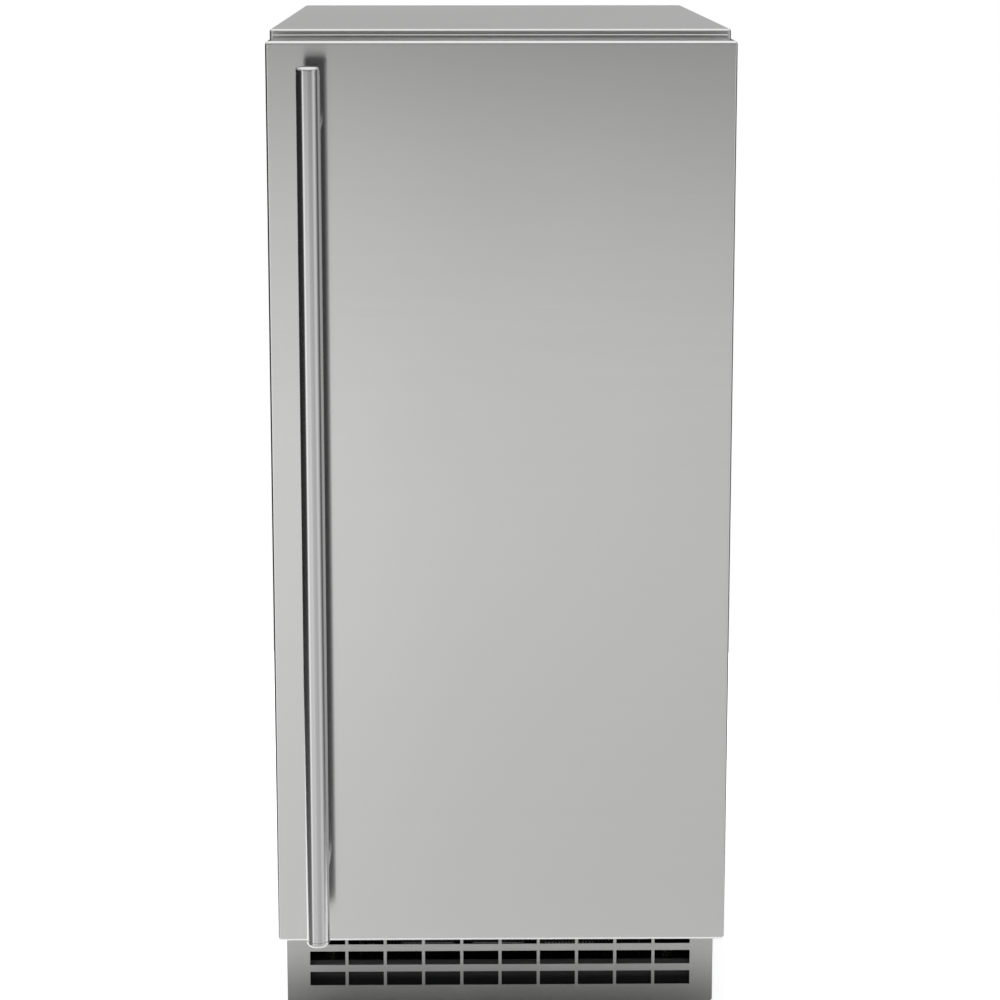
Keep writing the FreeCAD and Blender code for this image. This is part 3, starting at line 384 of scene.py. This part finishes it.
finishes = {
    "doorSteel": brushedSteel("doorSteel", 0.25),
    "panelSteel": brushedSteel("panelSteel", 0.0, roughness=0.36, shine=0.0),
    "grilleSteel": grilleSteel("grilleSteel"),
    "barSteel": polishedBar("barSteel", 0.9),
    "standoffSteel": polishedBar("standoffSteel", 0.0),
    "shellPaint": paintedSheet("shellPaint", (0.10, 0.103, 0.107)),
    # The base pan is coloured near black as painted shade behind the grille slots
    "panBlack": paintedSheet("panBlack", (0.012, 0.012, 0.013), 0.55),
    "zincSheet": zincSheet("zincSheet"),
    "screwSteel": screwSteel("screwSteel"),
    "foam": rigidFoam("foam"),
    "linerWhite": mouldedPlastic("linerWhite", (0.86, 0.865, 0.865), 0.28, 500.0, 0.00005),
    "mouldWhite": mouldedPlastic("mouldWhite", (0.70, 0.72, 0.74), 0.45),
    "mouldBlack": mouldedPlastic("mouldBlack", (0.018, 0.018, 0.02), 0.42, 1500.0, 0.00006, 0.2),
    "buttonGrey": mouldedPlastic("buttonGrey", (0.34, 0.35, 0.36), 0.34, 1200.0, 0.00003, 0.08),
    "gasketVinyl": softVinyl("gasketVinyl", (0.055, 0.057, 0.06)),
    "rubber": softVinyl("rubber", (0.022, 0.022, 0.022), 0.7),
    "enamel": enamel("enamel"),
    "fins": blackFins("fins"),
    "copper": drawnCopper("copper"),
    "nickel": nickelPlate("nickel"),
    "frosted": frostedPlastic("frosted"),
    "brass": brushedSteel("brass", 0.0, (0.74, 0.56, 0.27), 0.3, 0.0, 0.08),
    "milkyTube": mouldedPlastic("milkyTube", (0.72, 0.74, 0.72), 0.3, 800.0, 0.00002, 0.05,
                                Transmission_Weight=0.35),
    "lampLens": glowingLens("lampLens", (0.96, 0.97, 1.0), 7.0),
    "indicatorLens": glowingLens("indicatorLens", (0.05, 0.55, 0.22), 0.8),
    "acetal": mouldedPlastic("acetal", (0.78, 0.76, 0.70), 0.38),
    "scoopGrey": mouldedPlastic("scoopGrey", (0.075, 0.08, 0.088), 0.3, 700.0, 0.00004, 0.1),
}

nodeFinishes = {
    "doorSteel": ["door_skin"],
    "panelSteel": ["top_panel", "front_frame", "lower_front_panel"],
    "grilleSteel": ["kick_grille"],
    "barSteel": ["handle_bar"],
    "standoffSteel": ["handle_standoffs"],
    "shellPaint": ["side_panel_left", "side_panel_right"],
    "panBlack": ["base_pan"],
    "zincSheet": ["back_panel", "rear_cover", "hinge_brackets"],
    "screwSteel": ["cabinet_screws", "handle_screws", "leg_front_left", "leg_front_right",
                   "leg_rear_left", "leg_rear_right"],
    "foam": ["cabinet_foam", "door_foam"],
    "linerWhite": ["bin_liner", "door_liner"],
    "mouldWhite": ["evaporator_frame", "water_trough", "control_housing", "scoop_holder",
                   "water_distributor"],
    "mouldBlack": ["control_bezel", "fan_shroud", "fan_blade", "terminal_cover", "pump_body", "pump_impeller",
                   "drain_pump", "bin_sensor"],
    "buttonGrey": ["power_button", "clean_button"],
    "gasketVinyl": ["door_gasket"],
    "rubber": ["cord_gland", "compressor_grommets", "drain_tube"],
    "enamel": ["compressor", "fan_motor"],
    "fins": ["condenser_core"],
    "copper": ["condenser_tubes", "discharge_line", "liquid_line", "suction_line", "evaporator_tubing",
               "filter_drier"],
    "nickel": ["evaporator_grid"],
    "frosted": ["water_curtain"],
    "brass": ["inlet_valve"],
    "milkyTube": ["recirculation_hose", "water_feed_tube"],
    "lampLens": ["light_lens"],
    "indicatorLens": ["status_lenses"],
    "acetal": ["hinge_bushings"],
    "scoopGrey": ["ice_scoop"],
}

for finishName, names in nodeFinishes.items():
    for nodeName in names:
        slots = nodes[nodeName].data.materials
        if not slots:
            slots.append(None)
        for index in range(len(slots)):
            slots[index] = finishes[finishName]
print("finishes on", sum(len(names) for names in nodeFinishes.values()), "nodes")


# Shapes that repeat, built as geometry trees with named sizes

class Shape(ShaderTree):
    # One geometry tree. Its first input is the carrier's own mesh, which the tree copies or sweeps.
    def __init__(self, name, sizes):
        super().__init__(bpy.data.node_groups.new(name, "GeometryNodeTree"))
        self.sizes = sizes
        face = self.nodeTree.interface
        face.new_socket("Geometry", in_out="OUTPUT", socket_type="NodeSocketGeometry")
        face.new_socket("Geometry", in_out="INPUT", socket_type="NodeSocketGeometry")
        kinds = {int: "NodeSocketInt", float: "NodeSocketFloat", tuple: "NodeSocketVector"}
        self.sockets = {}
        for label, value in sizes.items():
            self.sockets[label] = face.new_socket(label, in_out="INPUT", socket_type=kinds[type(value)])
        self.source = self.nodeTree.nodes.new("NodeGroupInput")

    def size(self, label):
        return Wire(self, self.source.outputs[label])

    def vector(self, x, y, z):
        return self.add("ShaderNodeCombineXYZ", {}, {0: x, 1: y, 2: z})

    def moved(self, geometry, offset=(0, 0, 0), turn=(0, 0, 0)):
        values = {"Geometry": geometry, "Translation": offset, "Rotation": turn}
        return self.add("GeometryNodeTransform", {}, values)

    def line(self, count, start, step):
        return self.add("GeometryNodeMeshLine", {}, {"Count": count, "Start Location": start, "Offset": step})

    def copies(self, points, instance):
        return self.add("GeometryNodeInstanceOnPoints", {}, {"Points": points, "Instance": instance})

    def joined(self, *pieces):
        node = self.nodeTree.nodes.new("GeometryNodeJoinGeometry")
        for piece in pieces:
            self.nodeTree.links.new(piece.socket, node.inputs[0])
        return Wire(self, node.outputs[0])

    def piece(self, geometry, name, body, slot, finishName, mesh=None, replaced=()):
        real = self.add("GeometryNodeRealizeInstances", {}, {"Geometry": geometry})
        values = {"Geometry": real, "Material": finishes[finishName]}
        colored = self.add("GeometryNodeSetMaterial", {}, values)
        self.nodeTree.links.new(colored.socket, self.nodeTree.nodes.new("NodeGroupOutput").inputs[0])
        carrier = bpy.data.objects.new(name, mesh or bpy.data.meshes.new(name))
        scene.collection.objects.link(carrier)
        modifier = carrier.modifiers.new(name, "NODES")
        modifier.node_group = self.nodeTree
        for label, value in self.sizes.items():
            modifier[self.sockets[label].identifier] = value
        evaluated = carrier.evaluated_get(bpy.context.evaluated_depsgraph_get())
        finished = bpy.data.meshes.new_from_object(evaluated)
        carrier.modifiers.remove(modifier)
        carrier.data = finished
        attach(carrier, body)
        if replaced:
            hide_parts(*replaced)
        return carrier


def sharpShaded(piece, degrees=35.0):
    # Smooth across shallow edges, sharp across the rest
    mesh = piece.data
    mesh.shade_smooth()
    mesh.set_sharp_from_angle(angle=math.radians(degrees))


def meshOf(name, build):
    bmesh.ops.recalc_face_normals(build, faces=build.faces)
    mesh = bpy.data.meshes.new(name)
    build.to_mesh(mesh)
    build.free()
    return mesh


def extruded(name, outline, axis, low, high):
    # A closed solid: a flat outline pushed along one axis
    build = bmesh.new()
    rings = []
    for level in (low, high):
        ring = []
        for a, b in outline:
            place = [a, b]
            place.insert(axis, level)
            ring.append(build.verts.new(place))
        rings.append(ring)
    count = len(outline)
    for index in range(count):
        after = (index + 1) % count
        build.faces.new((rings[0][index], rings[0][after], rings[1][after], rings[1][index]))
    build.faces.new(rings[0])
    build.faces.new(rings[1])
    return meshOf(name, build)


def lathed(name, outline, segments):
    # A closed solid turned about Y: pairs of radius and place along the axis, from tip to tip
    build = bmesh.new()
    rings = []
    for radius, place in outline:
        if radius == 0:
            rings.append([build.verts.new((0, place, 0))])
            continue
        angles = [math.tau * index / segments for index in range(segments)]
        rings.append([build.verts.new((radius * math.cos(a), place, radius * math.sin(a))) for a in angles])
    for first, second in zip(rings, rings[1:]):
        for index in range(segments):
            after = (index + 1) % segments
            corners = [first[index % len(first)], first[after % len(first)]]
            corners += [second[after % len(second)], second[index % len(second)]]
            build.faces.new(list(dict.fromkeys(corners)))
    return meshOf(name, build)


condenserSettings = {
    "finPitch": 0.0030,
    "finThickness": 0.00035,
    "plateThickness": 0.0012,
    "edge": 0.0004,           # the fins stand this much short of the plates
}


def makeCondenserFins():
    s = condenserSettings
    low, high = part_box("condenser_core")
    width = high[0] - low[0]
    count = int((width - 2 * s["plateThickness"]) / s["finPitch"])
    sizes = {"Fins": count, "Pitch": s["finPitch"], "Thickness": s["finThickness"],
             "Plate": s["plateThickness"], "Depth": high[1] - low[1], "Height": high[2] - low[2],
             "Width": width, "Centre": tuple((low + high) / 2)}
    shape = Shape("condenserFins", sizes)
    step = shape.vector(shape.size("Pitch"), 0.0, 0.0)
    start = shape.vector(shape.size("Pitch") * (shape.size("Fins") - 1) / -2.0, 0.0, 0.0)
    edge = s["edge"]
    finSize = shape.vector(shape.size("Thickness"), shape.size("Depth") - edge, shape.size("Height") - edge)
    plateSize = shape.vector(shape.size("Plate"), shape.size("Depth"), shape.size("Height"))
    fin = shape.add("GeometryNodeMeshCube", {}, {"Size": finSize})
    plate = shape.add("GeometryNodeMeshCube", {}, {"Size": plateSize})
    reach = shape.size("Width") - shape.size("Plate")
    ends = shape.line(2, shape.vector(reach / -2.0, 0.0, 0.0), shape.vector(reach, 0.0, 0.0))
    everything = shape.joined(shape.copies(shape.line(shape.size("Fins"), start, step), fin),
                              shape.copies(ends, plate))
    placed = shape.moved(everything, shape.size("Centre"))
    shape.piece(placed, "condenser_fins", "cabinet", "fin_aluminium", "fins", replaced=("condenser_core",))


louvreSettings = {
    "columns": 2,
    "rows": 12,
    "columnPitch": 0.085,
    "rowPitch": 0.015,
    "firstColumn": 0.005,
    "firstRow": 0.093,
    "length": 0.074,
    "reach": 0.0042,
    "drop": 0.0030,
    "rise": 0.0052,
    "sheet": 0.0007,
    "curveSteps": 8,
}


def makeRearLouvres():
    # A pressed hood over each slot, open below
    s = louvreSettings
    low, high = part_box("rear_cover")
    face = high[1]
    angles = [math.pi / 2 * index / s["curveSteps"] for index in range(s["curveSteps"] + 1)]
    outer = [(math.sin(angle), math.cos(angle)) for angle in angles]
    tall = s["rise"] + s["drop"]
    outline = [(face + s["reach"] * a, s["rise"] - tall * (1 - b)) for a, b in outer]
    inside = [(face + (s["reach"] - s["sheet"]) * a, s["rise"] - s["sheet"] - (tall - s["sheet"]) * (1 - b))
              for a, b in reversed(outer)]
    hood = extruded("louvreHood", outline + inside, 0, -s["length"] / 2, s["length"] / 2)
    cheek = extruded("louvreCheek", outline + [(face, -s["drop"])], 0, -s["sheet"] / 2, s["sheet"] / 2)
    build = bmesh.new()
    build.from_mesh(hood)
    for side in (-1, 1):
        before = set(build.verts)
        build.from_mesh(cheek)
        added = [v for v in build.verts if v not in before]
        bmesh.ops.translate(build, vec=(side * (s["length"] - s["sheet"]) / 2, 0, 0), verts=added)
    mesh = meshOf("louvre", build)
    sizes = {"Columns": s["columns"], "Rows": s["rows"], "Column pitch": s["columnPitch"],
             "Row pitch": s["rowPitch"], "First": (s["firstColumn"], 0.0, s["firstRow"])}
    shape = Shape("rearLouvres", sizes)
    column = shape.line(shape.size("Rows"), (0.0, 0.0, 0.0), shape.vector(0.0, 0.0, shape.size("Row pitch")))
    places = shape.line(shape.size("Columns"), shape.size("First"),
                        shape.vector(shape.size("Column pitch"), 0.0, 0.0))
    hoods = shape.copies(column, shape.size("Geometry"))
    grid = shape.copies(places, hoods)
    piece = shape.piece(grid, "rear_louvre_hoods", "cabinet", "galvanised", "zincSheet", mesh)
    sharpShaded(piece)


gasketSettings = {
    "halfWidth": 0.008,
    "cornerRadius": 0.010,
    "cornerSteps": 6,
    # Half of the profile: distance from its middle, share of the depth
    "profile": [(1.0, 0.0), (1.0, 0.16), (0.93, 0.21), (0.62, 0.25), (0.60, 0.31), (0.90, 0.36), (1.0, 0.42),
                (1.0, 0.52), (0.90, 0.58), (0.60, 0.63), (0.62, 0.69), (0.93, 0.74), (1.0, 0.79), (1.0, 0.95),
                (0.92, 1.0)],
}


def makeDoorGasket():
    # Folded vinyl seal swept round the door, its magnet strip towards the cabinet
    s = gasketSettings
    low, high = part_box("door_gasket")
    half = s["halfWidth"]
    depth = high[1] - low[1]
    build = bmesh.new()
    side = [(half * a, depth * b - depth / 2) for a, b in s["profile"]]
    outline = side + [(-a, b) for a, b in reversed(side)]
    corners = [build.verts.new((a, b, 0)) for a, b in outline]
    for index, corner in enumerate(corners):
        build.edges.new((corner, corners[(index + 1) % len(corners)]))
    profile = bpy.data.meshes.new("gasketProfile")
    build.to_mesh(profile)
    build.free()
    middle = (low + high) / 2
    sizes = {"Width": high[0] - low[0] - 2 * half, "Height": high[2] - low[2] - 2 * half,
             "Corner": s["cornerRadius"], "Steps": s["cornerSteps"], "Centre": tuple(middle)}
    shape = Shape("gasketSweep", sizes)
    path = shape.add("GeometryNodeCurvePrimitiveQuadrilateral", {},
                     {"Width": shape.size("Width"), "Height": shape.size("Height")})
    path = shape.add("GeometryNodeFilletCurve", {"mode": "POLY"},
                     {"Curve": path, "Count": shape.size("Steps"), "Radius": shape.size("Corner")})
    section = shape.add("GeometryNodeMeshToCurve", {}, {"Mesh": shape.size("Geometry")})
    swept = shape.add("GeometryNodeCurveToMesh", {}, {"Curve": path, "Profile Curve": section})
    placed = shape.moved(swept, shape.size("Centre"), (math.pi / 2, 0.0, 0.0))
    piece = shape.piece(placed, "door_gasket_bellows", "door", "gasket_rubber", "gasketVinyl", profile,
                        ("door_gasket",))
    build = bmesh.new()
    build.from_mesh(piece.data)
    bmesh.ops.recalc_face_normals(build, faces=build.faces)
    build.to_mesh(piece.data)
    build.free()
    sharpShaded(piece, 50.0)


hingeScrewSettings = {
    "x": 0.1822,
    "spread": 0.036,
    "plateHalf": 0.027,
    "plateThickness": 0.003,
    "headRadius": 0.0034,
    "headHeight": 0.0019,
    # Shares of the head's radius and height, from its seat to the bottom of its recess
    "profile": [(0, 0), (1, 0), (1, 0.35), (0.9, 0.75), (0.66, 1), (0.4706, 1), (0.3765, 0.3), (0, 0.3)],
}


def makeHingeScrews():
    # Pan heads with a recess, two in each hinge plate
    s = hingeScrewSettings
    low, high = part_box("hinge_brackets")
    face = high[1] - s["plateThickness"]
    outline = [(s["headRadius"] * out, -s["headHeight"] * up) for out, up in s["profile"]]
    mesh = lathed("hingeScrewHead", outline, 24)
    first = (s["x"], face, low[2] + s["plateHalf"] - s["spread"] / 2)
    sizes = {"Spread": s["spread"], "Between plates": high[2] - low[2] - 2 * s["plateHalf"], "First": first}
    shape = Shape("hingeScrews", sizes)
    pair = shape.line(2, (0.0, 0.0, 0.0), shape.vector(0.0, 0.0, shape.size("Spread")))
    plates = shape.line(2, shape.size("First"), shape.vector(0.0, 0.0, shape.size("Between plates")))
    heads = shape.copies(plates, shape.copies(pair, shape.size("Geometry")))
    piece = shape.piece(heads, "hinge_plate_screws", "cabinet", "zinc_screws", "screwSteel", mesh)
    sharpShaded(piece)


curtainSettings = {
    "ribs": 9,
    "edgeMargin": 0.019,
    "ribWidth": 0.0026,
    "ribDepth": 0.0016,
    "ribHeight": 0.112,
    "ribBottom": 0.640,
    "faceDepth": 0.0040,      # from the curtain's foremost point back to its sheet
    "sunk": 0.0005,
    "curveSteps": 6,
}


def makeCurtainRibs():
    # Slim upright ribs that stiffen the clear curtain
    s = curtainSettings
    low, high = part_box("water_curtain")
    face = low[1] + s["faceDepth"]
    half = s["ribWidth"] / 2
    angles = [math.pi * index / s["curveSteps"] for index in range(s["curveSteps"] + 1)]
    outline = [(half * math.cos(angle), face - s["ribDepth"] * math.sin(angle)) for angle in angles]
    outline += [(-half, face + s["sunk"]), (half, face + s["sunk"])]
    mesh = extruded("curtainRib", outline, 2, s["ribBottom"], s["ribBottom"] + s["ribHeight"])
    span = high[0] - low[0] - 2 * s["edgeMargin"]
    shape = Shape("curtainRibs", {"Ribs": s["ribs"], "Span": span})
    gap = shape.size("Span") / (shape.size("Ribs") - 1)
    places = shape.line(shape.size("Ribs"), shape.vector(shape.size("Span") / -2.0, 0.0, 0.0),
                        shape.vector(gap, 0.0, 0.0))
    ribs = shape.copies(places, shape.size("Geometry"))
    piece = shape.piece(ribs, "curtain_ribs", "curtain", "clear_plastic", "frosted", mesh)
    sharpShaded(piece)


makeCondenserFins()
makeRearLouvres()
makeDoorGasket()
makeHingeScrews()
makeCurtainRibs()
print("repeating pieces made")


# Studio: pale floor, soft surroundings, one overhead light

studioSettings = {
    "floorRadius": 0.78,
    "floorCentre": (0.0, 0.36, 0.0),
    "floorColor": (0.94, 0.94, 0.94),
    "floorGlow": 0.25,
    "lampSize": 2.4,
    "lampPlace": (-0.4, -0.6, 2.8),
    "lampPower": 55.0,
    # Brightness round the horizon: from behind, by the left, the front and the right, to behind again
    "around": [(0.0, 0.15), (0.11, 0.03), (0.26, 0.02), (0.322, 0.05), (0.344, 0.5), (0.362, 1.9),
               (0.381, 1.5), (0.40, 1.22), (0.439, 1.2), (0.475, 1.24), (0.4906, 1.14), (0.50, 1.01),
               (0.515, 0.93), (0.583, 0.8), (0.644, 1.05), (0.683, 0.85), (0.717, 0.4), (0.75, 0.12),
               (0.92, 0.1), (1.0, 0.15)],
    # Its share at each elevation in front, by the sine of the angle, halved and counted from 0.5
    "down": [(0.28, 0.72), (0.35, 0.76), (0.383, 0.9), (0.40, 0.98), (0.417, 1.02), (0.434, 1.05),
             (0.451, 1.05), (0.465, 0.92), (0.479, 0.25), (0.50, 0.0)],
    "frontShare": [(0.34, 0.0), (0.40, 1.0), (0.60, 1.0), (0.66, 0.0)],
    # Plain levels further up and down, each with the sines between which it fades in
    "below": 0.78,
    "belowFade": (-0.44, -0.32),
    "aboveSides": 0.62,
    "sidesFade": (0.12, 0.35),
    "zenith": 1.4,
    "zenithFade": (0.45, 0.8),
}


def makeFloor():
    s = studioSettings
    mesh = bpy.data.meshes.new("floor")
    build = bmesh.new()
    bmesh.ops.create_circle(build, cap_ends=True, segments=96, radius=s["floorRadius"])
    bmesh.ops.translate(build, vec=s["floorCentre"], verts=build.verts)
    build.to_mesh(mesh)
    build.free()
    floor = bpy.data.objects.new("floor", mesh)
    scene.collection.objects.link(floor)
    finish = Finish("paleFloor", Roughness=0.9, Specular_IOR_Level=0.1)
    speck = finish.noise(40.0, detail=2.0)
    finish.set(Base_Color=finish.tinted(speck, s["floorColor"], 0.99, 1.01))
    finish.set(Emission_Color=(1.0, 1.0, 1.0), Emission_Strength=s["floorGlow"])
    mesh.materials.append(finish.material)


def makeWorld():
    s = studioSettings
    world = bpy.data.worlds.new("studio")
    scene.world = world
    world.use_nodes = True
    tree = ShaderTree(world.node_tree)
    x, y, z = tree.parts(tree.add("ShaderNodeTexCoord", {}, {}, "Generated"))
    turn = x.math("ARCTAN2", y * -1.0) / math.tau + 0.5
    white = (1.0, 1.0, 1.0)
    fall = tree.mix(tree.ramp(turn, s["frontShare"]), white, tree.ramp(z / 2.0 + 0.5, s["down"]))
    level = tree.multiplied(tree.ramp(turn, s["around"]), fall)
    level = tree.mix(z.smoothed(*s["belowFade"]), (s["below"],) * 3, level)
    level = tree.mix(z.smoothed(*s["sidesFade"]), level, (s["aboveSides"],) * 3)
    level = tree.mix(z.smoothed(*s["zenithFade"]), level, (s["zenith"],) * 3)
    seen = tree.add("ShaderNodeLightPath", {}, {}, "Is Camera Ray")
    background = world.node_tree.nodes["Background"]
    tree.plug(background.inputs["Color"], tree.mix(seen, level, white))


def makeLamp():
    # It lights the surfaces, and the surroundings alone are mirrored in the steel
    s = studioSettings
    data = bpy.data.lights.new("overhead", "AREA")
    data.size = s["lampSize"]
    data.energy = s["lampPower"]
    lamp = bpy.data.objects.new("overhead", data)
    lamp.location = s["lampPlace"]
    lamp.visible_glossy = False
    scene.collection.objects.link(lamp)


cameraSettings = {
    "place": (-0.0317, -2.6147, 0.9654),
    "tilt": 10.866,           # degrees below the horizon
    "turn": -0.745,
    "lens": 104.52,
    "sensor": 36.0,
    "shift": -0.04,
}


def makeCamera():
    s = cameraSettings
    data = bpy.data.cameras.new("camera")
    data.lens = s["lens"]
    data.sensor_width = s["sensor"]
    data.shift_y = s["shift"]
    camera = bpy.data.objects.new("camera", data)
    camera.location = s["place"]
    camera.rotation_euler = (math.radians(90 - s["tilt"]), 0.0, math.radians(s["turn"]))
    scene.collection.objects.link(camera)
    scene.camera = camera


makeFloor()
makeWorld()
makeLamp()
makeCamera()
scene.view_settings.view_transform = "Standard"
print("studio ready")
